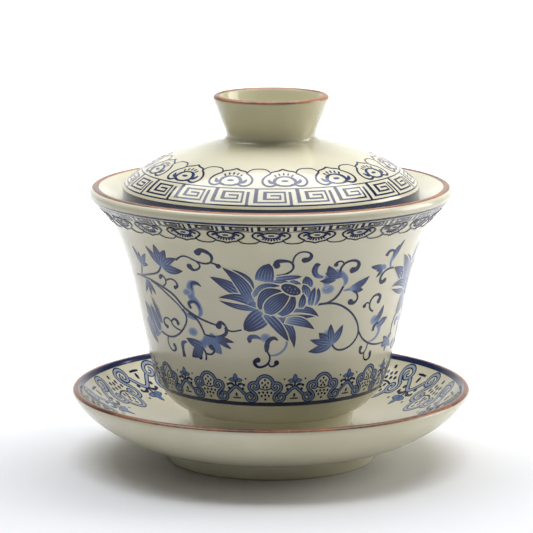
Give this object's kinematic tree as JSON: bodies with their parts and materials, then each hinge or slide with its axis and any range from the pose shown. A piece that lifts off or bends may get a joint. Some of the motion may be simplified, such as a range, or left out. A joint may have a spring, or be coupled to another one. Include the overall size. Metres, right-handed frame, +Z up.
{
  "type": "gaiwan",
  "caption": "Flared tea bowl with a domed lid that has a hollow ring knob, standing in a footed saucer.",
  "frame": {"origin": "on the set's axis, at the table surface under the saucer's foot ring", "axes": "+Z up along the common axis of lid, bowl and saucer; the shape is round, so X and Y are free, and -Y faces the viewer of the painted front flower"},
  "size_m": [0.1108, 0.1108, 0.1021],
  "materials": {
    "saucer_glaze": "glossy ivory-celadon glaze, brown oxide rim, blue painted border inside the rim",
    "bowl_glaze": "glossy ivory-celadon glaze, brown oxide lip, blue painted borders and lotus scroll outside",
    "lid_glaze": "glossy ivory-celadon glaze, brown oxide on the knob's lip, blue painted borders"
  },
  "bodies": {
    "saucer": {"saucer": "saucer_glaze"},
    "bowl": {"bowl": "bowl_glaze"},
    "lid": {"lid": "lid_glaze"}
  },
  "joints": [
    {"name": "bowl_lift", "type": "slide", "parent": "saucer", "child": "bowl", "axis": [0, 0, 1], "range_m": [0, 0.015]},
    {"name": "lid_lift", "type": "slide", "parent": "bowl", "child": "lid", "axis": [0, 0, 1], "range_m": [0, 0.01]}
  ]
}
